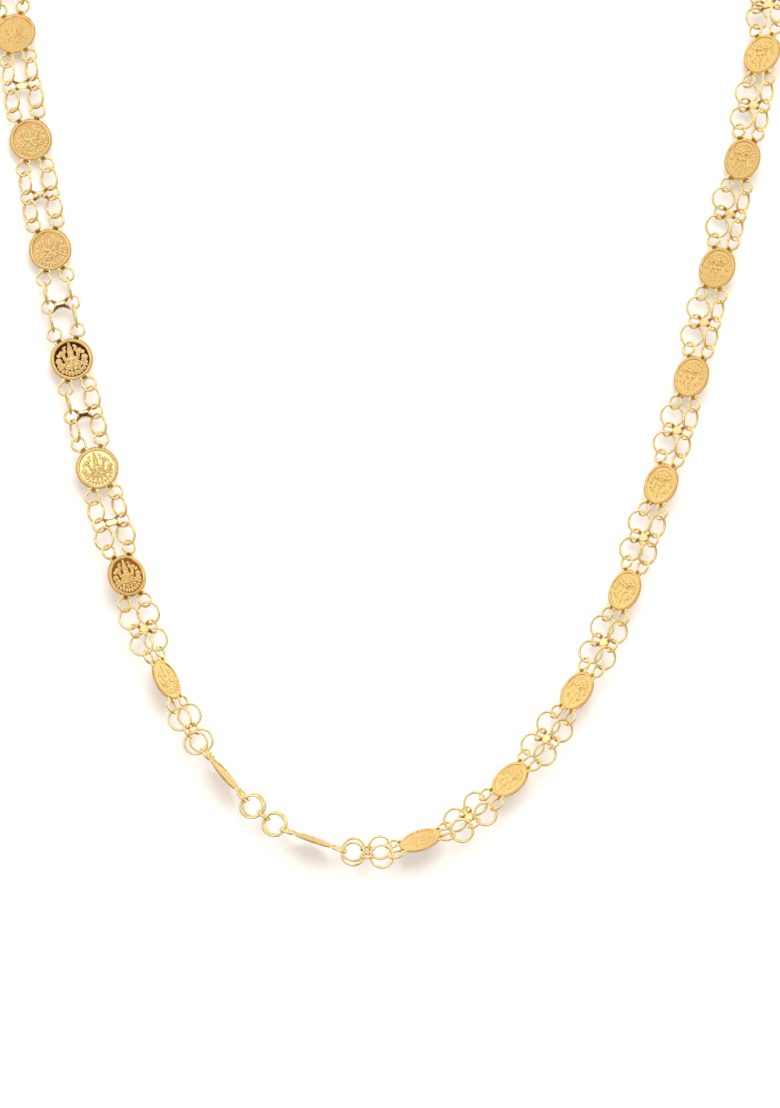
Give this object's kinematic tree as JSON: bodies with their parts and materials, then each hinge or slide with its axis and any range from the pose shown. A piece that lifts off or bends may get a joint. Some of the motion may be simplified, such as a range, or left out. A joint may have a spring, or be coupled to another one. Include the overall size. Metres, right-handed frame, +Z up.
{
  "type": "temple coin necklace",
  "caption": "Closed two-row necklace chain of small struck coins with a seated figure, joined by round jump rings and waisted bridge links, hung as it is worn.",
  "frame": {"origin": "at the nape, in the middle of the clasp, where the chain rests on the back of the neck", "axes": "+Z up, the worn front towards -Y, +X to the right of someone who looks at the front"},
  "size_m": [0.1504, 0.1172, 0.2217],
  "materials": {
    "coin_gold": "struck and gold plated, bright with a soft sheen",
    "wire_gold": "gold plated, polished"
  },
  "bodies": {
    "root": {"coin_01": "coin_gold", "coin_02": "coin_gold", "coin_03": "coin_gold", "coin_04": "coin_gold", "coin_05": "coin_gold", "coin_06": "coin_gold", "coin_07": "coin_gold", "coin_08": "coin_gold", "coin_09": "coin_gold", "coin_10": "coin_gold", "coin_11": "coin_gold", "coin_12": "coin_gold", "coin_13": "coin_gold", "coin_14": "coin_gold", "coin_15": "coin_gold", "coin_16": "coin_gold", "coin_17": "coin_gold", "coin_18": "coin_gold", "coin_19": "coin_gold", "coin_20": "coin_gold", "coin_21": "coin_gold", "coin_22": "coin_gold", "coin_23": "coin_gold", "coin_24": "coin_gold", "coin_25": "coin_gold", "coin_26": "coin_gold", "coin_27": "coin_gold", "coin_28": "coin_gold", "coin_29": "coin_gold", "coin_30": "coin_gold", "coin_31": "coin_gold", "coin_32": "coin_gold", "clasp": "wire_gold", "jump_rings_left": "wire_gold", "jump_rings_right": "wire_gold", "bridge_links_left": "wire_gold", "bridge_links_right": "wire_gold"}
  },
  "joints": []
}
